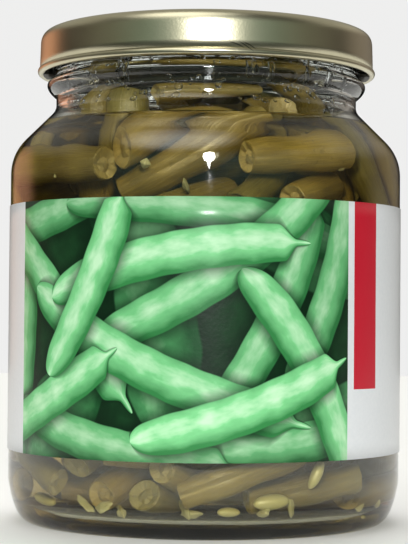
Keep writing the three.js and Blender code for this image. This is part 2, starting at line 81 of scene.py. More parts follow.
# Each soft glow of the room: where it is, the cosines where it starts and is full, and its colour.
SOFT_GLOWS = [
    ((-0.22, -0.50, 0.85), 0.85, 0.99, (2.2, 2.2, 2.1)),
    ((-0.66, 0.74, 0.05), 0.93, 0.99, (0.88, 0.42, 0.25)),
    ((0.70, 0.70, 0.18), 0.86, 0.99, (0.26, 0.22, 0.19)),
]
CEILING_COLOUR = (0.42, 0.41, 0.36)


def link(name, mesh):
    """A new object in the scene for a mesh."""
    made = bpy.data.objects.new(name, mesh)
    bpy.context.scene.collection.objects.link(made)
    return made


def mesh_of(name, points, faces):
    """A mesh from points and faces, with its outer side facing out."""
    mesh = bpy.data.meshes.new(name)
    mesh.from_pydata([tuple(p) for p in points], [], [tuple(f) for f in faces])
    shape = bmesh.new()
    shape.from_mesh(mesh)
    bmesh.ops.recalc_face_normals(shape, faces=shape.faces)
    shape.to_mesh(mesh)
    shape.free()
    mesh.polygons.foreach_set("use_smooth", [True] * len(mesh.polygons))
    return mesh


def node(tree, kind, inputs=None, **settings):
    """A new node with its settings, its inputs either values or sockets to link."""
    made = tree.nodes.new(kind)
    for key, value in settings.items():
        setattr(made, key, value)
    for key, value in (inputs or {}).items():
        if isinstance(value, bpy.types.NodeSocket):
            tree.links.new(value, made.inputs[key])
        else:
            made.inputs[key].default_value = value
    return made


def maths(tree, operation, *values):
    """The output of a maths node over numbers or sockets."""
    return node(tree, "ShaderNodeMath", dict(enumerate(values)), operation=operation).outputs[0]


def vector_maths(tree, operation, *values, scale=None, out=0):
    """The output of a vector maths node over vectors or sockets."""
    inputs = dict(enumerate(values))
    if scale is not None:
        inputs["Scale"] = scale
    return node(tree, "ShaderNodeVectorMath", inputs, operation=operation).outputs[out]


def times(tree, first, second):
    """The product of two numbers or sockets."""
    return maths(tree, "MULTIPLY", first, second)


def plus(tree, first, second):
    """The sum of two numbers or sockets."""
    return maths(tree, "ADD", first, second)


def minus(tree, first, second):
    """The first number or socket less the second."""
    return maths(tree, "SUBTRACT", first, second)


def remap(tree, value, start, end, low=0.0, high=1.0, kind="LINEAR"):
    """The value moved from one range to another, and held at its ends."""
    inputs = {"Value": value, "From Min": start, "From Max": end, "To Min": low, "To Max": high}
    return node(tree, "ShaderNodeMapRange", inputs, interpolation_type=kind).outputs[0]


def material(name, plain):
    """A new material, its node tree, its Principled shader with these plain inputs, and its output."""
    made = bpy.data.materials.new(name)
    made.use_nodes = True
    tree = made.node_tree
    shader = tree.nodes["Principled BSDF"]
    for key, value in plain.items():
        shader.inputs[key].default_value = value
    return made, tree, shader, tree.nodes["Material Output"]


floor = link("floor", mesh_of("floor", [
    (-FLOOR_REACH, FLOOR_FRONT, 0), (FLOOR_REACH, FLOOR_FRONT, 0),
    (FLOOR_REACH, FLOOR_REACH, 0), (-FLOOR_REACH, FLOOR_REACH, 0)], [(0, 1, 2, 3)]))
floor_paint = material("pale_floor", {"Base Color": (*PALE, 1), "Roughness": 0.8})[0]
floor.data.materials.append(floor_paint)
floor.location.z = -FLOOR_BELOW


def area_light(name, place, towards, size, power, colour=(1, 1, 1)):
    """A soft oval light at a place, facing a point."""
    lamp = bpy.data.lights.new(name, "AREA")
    lamp.shape = "ELLIPSE"
    lamp.size, lamp.size_y = size
    lamp.energy = power
    lamp.color = colour
    made = bpy.data.objects.new(name, lamp)
    bpy.context.scene.collection.objects.link(made)
    made.location = place
    made.rotation_euler = (Vector(towards) - Vector(place)).to_track_quat("-Z", "Y").to_euler()
    return made


area_light("front_box", (0.03, -1.0, 0.32), (0, 0, 0.06), (0.12, 0.30), 7.4)
floor_light = area_light("floor_light", (0, 0.85, 1.9), (0, 0.85, 0), (1.4, 1.4), 24)
only_floor = bpy.data.collections.new("only_floor")
only_floor.objects.link(floor)
floor_light.light_linking.receiver_collection = only_floor

room = bpy.data.worlds.new("room")
room.use_nodes = True
bpy.context.scene.world = room
tree = room.node_tree
background = tree.nodes["Background"]
direction = node(tree, "ShaderNodeTexCoord").outputs["Generated"]
split = node(tree, "ShaderNodeSeparateXYZ", {"Vector": direction}).outputs
ramp = node(tree, "ShaderNodeValToRGB", {"Fac": remap(tree, split["Y"], 1.0, -1.0)})
while len(ramp.color_ramp.elements) < len(ROOM_COLOURS):
    ramp.color_ramp.elements.new(0.5)
for element, (place, colour) in zip(ramp.color_ramp.elements, ROOM_COLOURS):
    element.position = place
    element.color = (*colour, 1)
low = remap(tree, split["Z"], 0.02, 0.15, 0.15, kind="SMOOTHSTEP")
high = remap(tree, split["Z"], 0.18, 0.62, 1.0, 0.10)
raised = remap(tree, split["Z"], 0.26, 0.50)
behind = remap(tree, split["Y"], -0.30, 0.15)
glow = vector_maths(tree, "SCALE", ramp.outputs["Color"], scale=times(tree, low, high))
lobes = []
for heading, widest, narrowest, colour in SOFT_GLOWS:
    towards = vector_maths(tree, "DOT_PRODUCT", direction, Vector(heading).normalized(), out=1)
    lobes.append((colour, remap(tree, towards, widest, narrowest, kind="SMOOTHSTEP")))
for colour, share in [*lobes, (CEILING_COLOUR, times(tree, raised, behind))]:
    glow = vector_maths(tree, "ADD", glow, vector_maths(tree, "SCALE", colour, scale=share))
seen = node(tree, "ShaderNodeLightPath").outputs["Is Camera Ray"]
shown = node(tree, "ShaderNodeMix", {0: seen}, data_type="RGBA")
dim_side, white_side = [socket for socket in shown.inputs if socket.type == "RGBA"]
tree.links.new(glow, dim_side)
white_side.default_value = WHITE_SURROUND
tree.links.new(next(s for s in shown.outputs if s.type == "RGBA"), background.inputs["Color"])
bpy.context.scene.view_settings.view_transform = "Standard"

# Glass jar
# One blown piece of clear container glass: pushed-up base with a foot ring, heel, straight body, round
# shoulders, neck, the bead under the lid and four thread ridges. It stands on its foot and carries the rest.
MM = 0.001
BODY_RADIUS = 40.0 * MM
WALL = 2.3 * MM
HEEL_HEIGHT = 8.6 * MM
SHOULDER_HEIGHT = 70.2 * MM
SHOULDER_ROUNDING = 10 * MM
NECK_RADIUS = 30.9 * MM
FINISH_RADIUS = 31.2 * MM
FINISH_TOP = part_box("glass_jar")[1][2] / MM
ROUND_SIDES = 224
RIDGES = 4
RIDGE_SPAN = math.radians(68)
RIDGE_START = math.radians(-7.5)
RIDGE_RUN_OUT = math.radians(10)
RIDGES_FROM = 91.5 * MM
RIDGE_LOW = 92.3 * MM
RIDGE_HEIGHT = 1.4 * MM
RIDGE_DEPTH = 1.3 * MM
THREAD_LEAD = 6 * MM


def at(radius, height):
    """A point of an outline, in metres, from its radius and height in millimetres."""
    return np.array((radius, height)) * MM


def bend(start, corner, end, steps):
    """Points of a curve from start to end that leaves and arrives along the two legs of a corner."""
    t = np.linspace(0, 1, steps + 1)[:, None]
    return list((1 - t) ** 2 * start + 2 * t * (1 - t) * corner + t ** 2 * end)


def turned(name, outline, sides=ROUND_SIDES, bulge=None, closed=False, span=2 * math.pi):
    """A mesh turned round the Z axis from an outline of (radius, height), open or closed."""
    outline = np.array(outline)
    whole = abs(span - 2 * math.pi) < 1e-9
    angles = np.linspace(0, span, sides, endpoint=not whole)
    points, rows = [], []
    for radius, height in outline:
        if radius < 1e-9:
            rows.append([len(points)] * sides)
            points.append((0, 0, height))
            continue
        reach = radius + (bulge(angles, radius, height) if bulge else 0 * angles)
        rows.append(list(range(len(points), len(points) + sides)))
        points.extend(zip(reach * np.sin(angles), -reach * np.cos(angles), np.full(sides, height)))
    faces = []
    pairs = list(zip(rows, rows[1:])) + ([(rows[-1], rows[0])] if closed else [])
    for low, high in pairs:
        for j in range(sides if whole else sides - 1):
            k = (j + 1) % sides
            corners = [low[j], low[k], high[k], high[j]]
            face = [c for n, c in enumerate(corners) if c not in corners[:n]]
            if len(face) > 2:
                faces.append(face)
    return mesh_of(name, points, faces)


def thread_ridge(angles, radius, height):
    """How far the thread ridges stand out of the neck under the lid at these angles and this height."""
    if radius < FINISH_RADIUS - 0.3 * MM or height < RIDGES_FROM:
        return 0 * angles
    turn = np.mod(angles - RIDGE_START, 2 * math.pi / RIDGES)
    middle = RIDGE_LOW + RIDGE_HEIGHT / 2 + THREAD_LEAD * turn / (2 * math.pi)
    across = np.clip(1 - ((height - middle) / (RIDGE_HEIGHT / 2)) ** 2, 0, 1)
    ends = np.clip(np.minimum(turn, RIDGE_SPAN - turn) / RIDGE_RUN_OUT, 0, 1)
    return RIDGE_DEPTH * np.sqrt(across) * ends * ends * (3 - 2 * ends)


shoulder_end = np.array((BODY_RADIUS - SHOULDER_ROUNDING * (1 - math.sqrt(0.5)),
                         SHOULDER_HEIGHT + SHOULDER_ROUNDING * math.sqrt(0.5))) / MM
shoulder_corner = (SHOULDER_HEIGHT + SHOULDER_ROUNDING * math.tan(math.pi / 8)) / MM
neck_corner = shoulder_end.sum() - NECK_RADIUS / MM
outer_glass = [
    at(0, 1.6),
    *bend(at(20, 1.6), at(29, 1.6), at(33, 0), 6),
    *bend(at(36.2, 0), at(38.9, 1), at(40, 8.6), 12),
    *bend(at(40, 70.2), at(40, shoulder_corner), at(*shoulder_end), 12),
    *bend(at(31.9, neck_corner - 1), at(30.9, neck_corner), at(30.9, 84.6), 8),
    *bend(at(30.9, 86.2), at(34.5, 88.8), at(31.2, 90.4), 14),
    *[at(31.2, height) for height in np.linspace(91.6, 96.6, 22)],
    *bend(at(31.2, FINISH_TOP - 1), at(31.2, FINISH_TOP), at(30.2, FINISH_TOP), 5),
]
slope_top = shoulder_end - WALL / MM * math.sqrt(0.5)
bore = (NECK_RADIUS - WALL) / MM
bore_corner = slope_top.sum() - bore
inner_glass = [
    at(0, 3.5),
    *bend(at(29, 3.0), at(36.7, 3.0), at(37.7, 8.4), 12),
    *bend(at(37.7, 70.2), at(37.7, shoulder_corner - 0.95), at(*slope_top), 12),
    *bend(at(bore + 1.6, bore_corner - 1.6), at(bore, bore_corner), at(bore, bore_corner + 1.6), 8),
    *bend(at(bore, FINISH_TOP - 0.8), at(bore, FINISH_TOP), at(bore + 0.8, FINISH_TOP), 5),
]


def lets_light_in(tree, shader, output, colour):
    """Lamp light and light between the contents pass straight through, tinted. Eyes see the real shader."""
    path = node(tree, "ShaderNodeLightPath").outputs
    straight = maths(tree, "MAXIMUM", path["Is Shadow Ray"], path["Is Diffuse Ray"])
    clear = node(tree, "ShaderNodeBsdfTransparent", {"Color": (*colour, 1)})
    mixed = node(tree, "ShaderNodeMixShader", {0: straight, 1: shader.outputs[0], 2: clear.outputs[0]})
    tree.links.new(mixed.outputs[0], output.inputs["Surface"])


def grain(tree, scale, detail=2.0, roughness=0.5, where=None):
    """A fine noise over the piece, or along the given place."""
    where = where or node(tree, "ShaderNodeTexCoord").outputs["Object"]
    inputs = {"Vector": where, "Scale": scale, "Detail": detail, "Roughness": roughness}
    return node(tree, "ShaderNodeTexNoise", inputs).outputs[0]


def relief(tree, shader, height, strength, distance):
    """Small bumps in a surface from a height."""
    bumps = node(tree, "ShaderNodeBump", {"Height": height, "Strength": strength, "Distance": distance})
    tree.links.new(bumps.outputs[0], shader.inputs["Normal"])


glass, tree, shader, output = material("container_glass", {
    "Base Color": (0.93, 0.96, 0.94, 1), "Transmission Weight": 1, "IOR": 1.52})
smears = grain(tree, 130, 5, 0.7)
tree.links.new(remap(tree, smears, 0.45, 0.8, 0.0, 0.10), shader.inputs["Roughness"])
relief(tree, shader, grain(tree, 42, 1.5), 0.35, 0.0006)
lets_light_in(tree, shader, output, (0.96, 0.97, 0.96))

jar = link("jar_glass", turned("jar_glass", [*outer_glass, *inner_glass[::-1]], bulge=thread_ridge))
jar.data.materials.append(glass)
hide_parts("glass_jar")
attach(jar, "jar")

# Bean pieces
# Round pods cut across into short lengths and cooked: soft olive skins with a seam down each side, swollen
# over the seeds, paler flesh at the cuts. They are packed in loose, and rest on each other and the glass.
PIECE_RINGS = 26
PIECE_SIDES = 20
SEED_SPAN = 6.0
TEAR_SIZE = 0.9 * MM
# Each step of a cut end, from its rim inwards: how far it is drawn out, in metres, and the width it keeps.
CUT_STEPS = [(0.00015, 0.93), (-0.0002, 0.82), (-0.0005, 0.60), (0.0004, 0.45)]


def group_input(tree, name, kind, value=None):
    """A named input of a node group."""
    socket = tree.interface.new_socket(name, in_out="INPUT", socket_type=kind)
    if value is not None:
        socket.default_value = value
    return socket.identifier


def group_inputs(tree, rows):
    """The identifiers of named inputs, by key, from rows of key, name, kind and value."""
    return {key: group_input(tree, name, "NodeSocket" + kind, value) for key, name, kind, value in rows}


def bean_tree():
    """Sweeps a pod's section along a bent line, swells it over the seeds and cuts both ends on a slant."""
    tree = bpy.data.node_groups.new("bean_piece", "GeometryNodeTree")
    ids = group_inputs(tree, [
        ("line", "Middle line", "Geometry", None), ("thickness", "Thickness", "Float", 0.0075),
        ("flatness", "Flatness", "Float", 0.9), ("swelling", "Swelling over seeds", "Float", 0.05),
        ("spacing", "Seed spacing", "Float", 0.009), ("wrinkles", "Wrinkles", "Float", 0.05),
        ("seed", "Seed", "Float", 1.0), ("rings", "Rings", "Int", PIECE_RINGS),
        ("sides", "Sides", "Int", PIECE_SIDES), ("start", "Start cut", "Vector", None),
        ("end", "End cut", "Vector", None), ("skin", "Skin", "Material", None),
        ("flesh", "Flesh", "Material", None)])
    tree.interface.new_socket("Piece", in_out="OUTPUT", socket_type="NodeSocketGeometry")
    given = node(tree, "NodeGroupInput").outputs

    line = node(tree, "GeometryNodeMeshToCurve", {"Mesh": given["Middle line"]})
    smooth = node(tree, "GeometryNodeCurveSplineType", {"Curve": line.outputs[0]}, spline_type="CATMULL_ROM")
    rings = node(tree, "GeometryNodeResampleCurve", {"Curve": smooth.outputs[0], "Count": given["Rings"]})
    along = node(tree, "GeometryNodeCaptureAttribute", {"Geometry": rings.outputs[0]})
    for kind, name in (("FLOAT", "share"), ("FLOAT", "distance"),
                       ("VECTOR", "middle"), ("VECTOR", "heading")):
        along.capture_items.new(kind, name)
    station = node(tree, "GeometryNodeSplineParameter").outputs
    tree.links.new(station["Factor"], along.inputs["share"])
    tree.links.new(station["Length"], along.inputs["distance"])
    tree.links.new(node(tree, "GeometryNodeInputPosition").outputs[0], along.inputs["middle"])
    tree.links.new(node(tree, "GeometryNodeInputTangent").outputs[0], along.inputs["heading"])

    half = times(tree, given["Thickness"], 0.5)
    circle = node(tree, "GeometryNodeCurvePrimitiveCircle", {"Resolution": given["Sides"], "Radius": half})
    round_it = node(tree, "GeometryNodeCaptureAttribute", {"Geometry": circle.outputs[0]})
    round_it.capture_items.new("FLOAT", "around")
    tree.links.new(station["Factor"], round_it.inputs["around"])
    sides = node(tree, "ShaderNodeCombineXYZ", {"X": 1.0, "Y": given["Flatness"], "Z": 1.0})
    oval = node(tree, "GeometryNodeTransform", {"Geometry": round_it.outputs[0], "Scale": sides.outputs[0]})
    swept = node(tree, "GeometryNodeCurveToMesh", {
        "Curve": along.outputs[0], "Profile Curve": oval.outputs[0], "Fill Caps": True})

    share, distance = along.outputs["share"], along.outputs["distance"]
    middle, heading, around = along.outputs["middle"], along.outputs["heading"], round_it.outputs["around"]
    place = node(tree, "GeometryNodeInputPosition").outputs[0]
    spoke = vector_maths(tree, "SUBTRACT", place, middle)
    beat = times(tree, maths(tree, "DIVIDE", distance, given["Seed spacing"]), 2 * math.pi)
    bumps = times(tree, maths(tree, "SINE", plus(tree, beat, given["Seed"])),
                  given["Swelling over seeds"])
    offset = node(tree, "ShaderNodeCombineXYZ", {"X": given["Seed"]}).outputs[0]
    own_place = vector_maths(tree, "ADD", place, offset)
    dents = minus(tree, grain(tree, 170, where=own_place), 0.5)
    dents = times(tree, dents, given["Wrinkles"])
    seam = maths(tree, "ABSOLUTE", maths(tree, "SINE", times(tree, around, 2 * math.pi)))
    seam = times(tree, maths(tree, "POWER", minus(tree, 1.0, seam), 9.0), 0.045)
    from_middle = maths(tree, "ABSOLUTE", times(tree, minus(tree, share, 0.5), 2.0))
    tight = times(tree, maths(tree, "POWER", from_middle, 7.0), -0.06)
    grow = plus(tree, plus(tree, bumps, dents), plus(tree, seam, tight))
    shaped = vector_maths(tree, "SCALE", spoke, scale=plus(tree, grow, 0.985))

    slants = []
    for cut, near in (("Start cut", minus(tree, 1.0, times(tree, share, 4.0))),
                      ("End cut", minus(tree, times(tree, share, 4.0), 3.0))):
        lean = vector_maths(tree, "DOT_PRODUCT", shaped, given[cut], out=1)
        fall = vector_maths(tree, "DOT_PRODUCT", heading, given[cut], out=1)
        slide = times(tree, maths(tree, "DIVIDE", lean, fall), maths(tree, "MAXIMUM", near, 0.0))
        slants.append(vector_maths(tree, "SCALE", heading, scale=times(tree, slide, -1.0)))
    moved = vector_maths(tree, "ADD", vector_maths(tree, "ADD", middle, shaped),
                         vector_maths(tree, "ADD", *slants))
    formed = node(tree, "GeometryNodeSetPosition", {"Geometry": swept.outputs[0], "Position": moved})

    corners = node(tree, "GeometryNodeInputMeshFaceNeighbors").outputs["Vertex Count"]
    is_cut = node(tree, "FunctionNodeCompare", {2: corners, 3: 5}, data_type="INT", operation="GREATER_THAN")
    skin = formed
    for name, value in (("along", distance), ("around", around), ("piece", given["Seed"])):
        skin = node(tree, "GeometryNodeStoreNamedAttribute", {
            "Geometry": skin.outputs[0], "Name": name, "Value": value}, data_type="FLOAT")
    skinned = node(tree, "GeometryNodeSetMaterial", {"Geometry": skin.outputs[0], "Material": given["Skin"]})
    body, top = skinned.outputs[0], is_cut.outputs[0]
    tears = node(tree, "ShaderNodeTexNoise", {"Vector": own_place, "Scale": 520})
    ragged = vector_maths(tree, "SUBTRACT", tears.outputs["Color"], (0.5, 0.5, 0.5))
    ragged = vector_maths(tree, "SCALE", ragged, scale=TEAR_SIZE)
    for depth, width in CUT_STEPS:
        rim = node(tree, "GeometryNodeExtrudeMesh", {"Mesh": body, "Selection": top, "Offset Scale": depth,
                                                     "Individual": False})
        fleshy = node(tree, "GeometryNodeSetMaterial", {"Geometry": rim.outputs["Mesh"],
                                                        "Selection": rim.outputs["Top"],
                                                        "Material": given["Flesh"]})
        narrow = node(tree, "GeometryNodeScaleElements", {"Geometry": fleshy.outputs[0],
                                                          "Selection": rim.outputs["Top"], "Scale": width})
        body = node(tree, "GeometryNodeSetPosition", {"Geometry": narrow.outputs[0], "Offset": ragged,
                                                      "Selection": rim.outputs["Top"]}).outputs[0]
        top = rim.outputs["Top"]
    soft = node(tree, "GeometryNodeSetShadeSmooth", {"Geometry": body})
    plain = node(tree, "GeometryNodeRealizeInstances", {"Geometry": soft.outputs[0]})
    node(tree, "NodeGroupOutput", {"Piece": plain.outputs[0]})
    return tree, ids


def made_by(tree, ids, base, name, **values):
    """The plain mesh that a Geometry Nodes tree makes from a base mesh with these named inputs."""
    source = link(name, base)
    modifier = source.modifiers.new("nodes", "NODES")
    modifier.node_group = tree
    for key, value in values.items():
        modifier[ids[key]] = value
    evaluated = source.evaluated_get(bpy.context.evaluated_depsgraph_get())
    mesh = bpy.data.meshes.new_from_object(evaluated)
    source.modifiers.remove(modifier)
    source.data = mesh
    mesh.name = name
    return source


def mottling():
    """Node group: cooked blotches, fine lengthwise fibres and small specks, as masks from 0 to 1."""
    tree = bpy.data.node_groups.new("mottling", "ShaderNodeTree")
    group_input(tree, "Blotch scale", "NodeSocketFloat", 90.0)
    group_input(tree, "Speck scale", "NodeSocketFloat", 900.0)
    for name in ("Blotches", "Fibres", "Specks", "Piece"):
        tree.interface.new_socket(name, in_out="OUTPUT", socket_type="NodeSocketFloat")
    given = node(tree, "NodeGroupInput").outputs
    where = node(tree, "ShaderNodeTexCoord").outputs["Object"]
    blotches = grain(tree, given["Blotch scale"], 3, where=where)
    along = node(tree, "ShaderNodeAttribute", attribute_name="along").outputs["Fac"]
    around = node(tree, "ShaderNodeAttribute", attribute_name="around").outputs["Fac"]
    turn = times(tree, around, 2 * math.pi)
    path = node(tree, "ShaderNodeCombineXYZ", {"X": times(tree, maths(tree, "COSINE", turn), 6.0),
                                               "Y": times(tree, maths(tree, "SINE", turn), 6.0),
                                               "Z": times(tree, along, 90.0)})
    fibres = grain(tree, 2.2, 3, where=path.outputs[0])
    specks = remap(tree, grain(tree, given["Speck scale"], where=where), 0.62, 0.72)
    piece = node(tree, "ShaderNodeAttribute", attribute_name="piece").outputs["Fac"]
    node(tree, "NodeGroupOutput", {"Blotches": blotches, "Fibres": fibres, "Specks": specks,
                                   "Piece": maths(tree, "DIVIDE", piece, SEED_SPAN)})
    return tree


def blend_colours(tree, share, first, second, mode="MIX"):
    """The colour between two colours or sockets by a share from 0 to 1."""
    mixed = node(tree, "ShaderNodeMix", data_type="RGBA", blend_type=mode)
    socket_a, socket_b = [s for s in mixed.inputs if s.type == "RGBA"]
    for socket, value in ((mixed.inputs[0], share), (socket_a, first), (socket_b, second)):
        if isinstance(value, bpy.types.NodeSocket):
            tree.links.new(value, socket)
        else:
            socket.default_value = value if isinstance(value, (int, float)) else (*value, 1)
    return next(s for s in mixed.outputs if s.type == "RGBA")


def cooked(name, dark, middle, light, roughness, bump):
    """A wet cooked surface in three tones of one colour."""
    made, tree, shader, _ = material(name, {"Roughness": roughness})
    marks = node(tree, "ShaderNodeGroup")
    marks.node_tree = mottled
    colour = blend_colours(tree, remap(tree, marks.outputs["Blotches"], 0.32, 0.68), dark, light)
    threads = blend_colours(tree, remap(tree, marks.outputs["Fibres"], 0.35, 0.65), dark, middle)
    colour = blend_colours(tree, 0.5, colour, threads)
    colour = blend_colours(tree, times(tree, marks.outputs["Specks"], 0.35), colour, dark)
    tint = blend_colours(tree, marks.outputs["Piece"], (0.70, 0.74, 0.66), (1.22, 1.06, 0.82))
    colour = blend_colours(tree, 1.0, colour, tint, mode="MULTIPLY")
    tree.links.new(colour, shader.inputs["Base Color"])
    height = plus(tree, marks.outputs["Fibres"], times(tree, marks.outputs["Specks"], -0.4))
    relief(tree, shader, height, bump, 0.0003)
    return made


mottled = mottling()
bean_skin = cooked("bean_skin", (0.13, 0.095, 0.018), (0.27, 0.21, 0.05), (0.38, 0.30, 0.085), 0.38, 0.55)
bean_flesh = cooked("bean_flesh", (0.26, 0.21, 0.07), (0.42, 0.35, 0.14), (0.58, 0.50, 0.25), 0.45, 0.8)
pod_tree, pod_inputs = bean_tree()
rng = np.random.default_rng(4)


def middle_line(name, points):
    """A mesh of edges through the points, for the tree to sweep along."""
    mesh = bpy.data.meshes.new(name)
    mesh.from_pydata([tuple(p) for p in points], [(i, i + 1) for i in range(len(points) - 1)], [])
    return mesh


def cad_rings(name):
    """A CAD bean's rings of corners, from one end to the other: it is a loft of four rings of eight."""
    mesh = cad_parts[name].data
    points = np.empty(len(mesh.vertices) * 3)
    mesh.vertices.foreach_get("co", points)
    points = np.unique(np.round(points.reshape(-1, 3), 7), axis=0)
    kept = []
    for point in points:
        if all(np.linalg.norm(point - other) > 2e-5 for other in kept):
            kept.append(point)
    points = np.array(kept)
    _, _, axes = np.linalg.svd(points - points.mean(axis=0))
    ordered = points[np.argsort(points @ axes[0])]
    return ordered.reshape(4, -1, 3)


def pod_from(name, points, thickness, cuts, rings, sides):
    """A fine bean piece along points, with its own flatness, swelling and wrinkles drawn at random."""
    return made_by(pod_tree, pod_inputs, middle_line(name, points), name, thickness=thickness,
                   flatness=float(rng.uniform(0.88, 0.98)), swelling=float(rng.uniform(0.015, 0.06)),
                   spacing=float(rng.uniform(0.008, 0.012)), wrinkles=float(rng.uniform(0.03, 0.10)),
                   seed=float(rng.uniform(0, SEED_SPAN)), rings=rings, sides=sides,
                   start=cuts[0], end=cuts[1], skin=bean_skin, flesh=bean_flesh)


def bean_from(rings, name):
    """The fine bean piece that follows a CAD bean's middle line, thickness and cuts."""
    middles = rings.mean(axis=1)
    thickness = 2 * np.linalg.norm(rings[1:3] - middles[1:3, None], axis=2).mean()
    cuts = []
    for ring, middle, heading in ((rings[0], middles[0], middles[1] - middles[0]),
                                  (rings[3], middles[3], middles[3] - middles[2])):
        _, _, axes = np.linalg.svd(ring - middle)
        cuts.append(axes[2] * np.sign(axes[2] @ heading))
    return pod_from(name, middles, thickness * 1.03, cuts, PIECE_RINGS, PIECE_SIDES)


cad_beans = sorted(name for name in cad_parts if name.startswith("bean_"))
solid_rings = {name: cad_rings(name) for name in cad_beans}
for name in cad_beans:
    bean = bean_from(solid_rings[name], "pod_" + name[5:])
    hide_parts(name)
    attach(bean, "jar")

# Inner bean pieces
# The rest of the fill: the same cut pods between and behind the outer ones, pushed into the room that is
# left. They are settled as stiff rods of balls until hardly any overlap, and joined in a few meshes.
INNER_COUNT = 96
INNER_STEPS = 140
INNER_GROUPS = 4
INNER_GAP = 0.0001
INNER_RINGS = 16
INNER_SIDES = 14
BALLS_IN_A_ROD = 9
FIXED_BALL_RADIUS = 0.0037
FILL_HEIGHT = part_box("brine")[1][2]
inner_wall = np.array(inner_glass)


def wall_lack(points, radii):
    """How far balls reach through the inside of the glass, and the way back in, for points (n, 3)."""
    flat = np.stack([np.hypot(points[:, 0], points[:, 1]), points[:, 2]], axis=1)
    start, run = inner_wall[:-1], np.diff(inner_wall, axis=0)
    share = ((flat[:, None] - start) * run).sum(-1) / (run ** 2).sum(-1)
    away = flat[:, None] - (start + np.clip(share, 0, 1)[..., None] * run)
    far = np.linalg.norm(away, axis=-1)
    nearest = far.argmin(axis=1)
    rows = np.arange(len(points))
    away, far, run = away[rows, nearest], far[rows, nearest], run[nearest]
    side = np.sign(run[:, 0] * away[:, 1] - run[:, 1] * away[:, 0])
    leads = away / np.maximum(far, 1e-9)[:, None] * side[:, None]
    outward = points[:, :2] / np.maximum(flat[:, :1], 1e-9)
    ways = np.concatenate([outward * leads[:, :1], leads[:, 1:]], axis=1)
    return np.maximum(radii + INNER_GAP - far * side, 0), ways


def turn_by(vectors, twist):
    """Vectors (n, 3) turned by small turns (n, 3)."""
    return vectors + np.cross(twist, vectors)


def settled_rods():
    """Seeded rods of balls in the jar, pushed apart and off the fixed beans and the glass."""
    count, beads = INNER_COUNT, BALLS_IN_A_ROD
    heights = rng.uniform(0.008, 0.078, count)
    reach = np.interp(heights, inner_wall[:, 1], inner_wall[:, 0]) - 0.005
    spots = np.sqrt(rng.uniform(0, 1, count)) * reach
    bearing = rng.uniform(0, 2 * math.pi, count)
    middle = np.stack([spots * np.cos(bearing), spots * np.sin(bearing), heights], axis=1)
    heading = rng.normal(0, 1, (count, 3)) * (1, 1, 0.6)
    heading /= np.linalg.norm(heading, axis=1)[:, None]
    side = np.cross(heading, rng.normal(0, 1, (count, 3)))
    side /= np.linalg.norm(side, axis=1)[:, None]
    length = rng.uniform(0.018, 0.030, count)
    radius = rng.uniform(0.0032, 0.0040, count)
    curve = rng.uniform(0.03, 0.09, count)
    steps = np.linspace(-0.5, 0.5, beads)[None] * (length - 0.9 * radius)[:, None]
    line_points = [rings.mean(axis=1) for rings in solid_rings.values()]
    fixed = np.concatenate([np.repeat(line, 4, axis=0) for line in line_points])
    weights = np.tile(np.array([1, 0.75, 0.5, 0.25]), len(fixed) // 4)[:, None]
    ahead = np.concatenate([np.repeat(np.roll(line, -1, axis=0), 4, axis=0) for line in line_points])
    fixed = fixed * weights + ahead * (1 - weights)
    keep = np.tile(np.repeat([True, True, True, False], 4), len(solid_rings))
    fixed = fixed[keep]
    fixed_radius = np.full(len(fixed), FIXED_BALL_RADIUS)
    owner = np.repeat(np.arange(count), beads)
    ball_radius = np.repeat(radius, beads)
    for _ in range(INNER_STEPS):
        bow = curve[:, None] * (1 - np.cos(steps / curve[:, None]))
        reach = np.sin(steps / curve[:, None])[..., None] * curve[:, None, None]
        balls = (middle[:, None] + reach * heading[:, None] + bow[..., None] * side[:, None]).reshape(-1, 3)
        push = np.zeros_like(balls)
        touched = np.zeros(len(balls))
        for others, other_radius, share in ((balls, ball_radius, 0.5), (fixed, fixed_radius, 1.0)):
            apart = balls[:, None] - others[None]
            far = np.linalg.norm(apart, axis=2)
            lack = ball_radius[:, None] + other_radius[None] + INNER_GAP - far
            if others is balls:
                lack[owner[:, None] == owner[None]] = 0
            lack = np.maximum(lack, 0)
            push += (apart * (lack * share / np.maximum(far, 1e-6))[..., None]).sum(axis=1)
            touched += (lack > 0).sum(axis=1)
        lack, ways = wall_lack(balls, ball_radius)
        push += ways * lack[:, None] * 2
        touched += lack > 0
        arms = balls - middle[owner]
        stiffness = (arms ** 2).sum(1) + (length[owner] ** 2) / 12
        hits = np.maximum(np.bincount(owner, touched, count), 1)[:, None]
        shift = np.stack([np.bincount(owner, push[:, k], count) for k in range(3)], 1) / hits
        twist = np.cross(arms, push) / stiffness[:, None]
        twist = np.stack([np.bincount(owner, twist[:, k], count) for k in range(3)], 1) / hits
        middle += shift
        heading = turn_by(heading, twist)
        heading /= np.linalg.norm(heading, axis=1)[:, None]
        side = turn_by(side, twist)
        side -= (side * heading).sum(1)[:, None] * heading
        side /= np.linalg.norm(side, axis=1)[:, None]
    return middle, heading, side, length, radius, curve


def joined(name, pieces):
    """One object from several."""
    with bpy.context.temp_override(active_object=pieces[0], selected_editable_objects=pieces,
                                   selected_objects=pieces, object=pieces[0]):
        bpy.ops.object.join()
    pieces[0].name = name
    pieces[0].data.name = name
    return pieces[0]


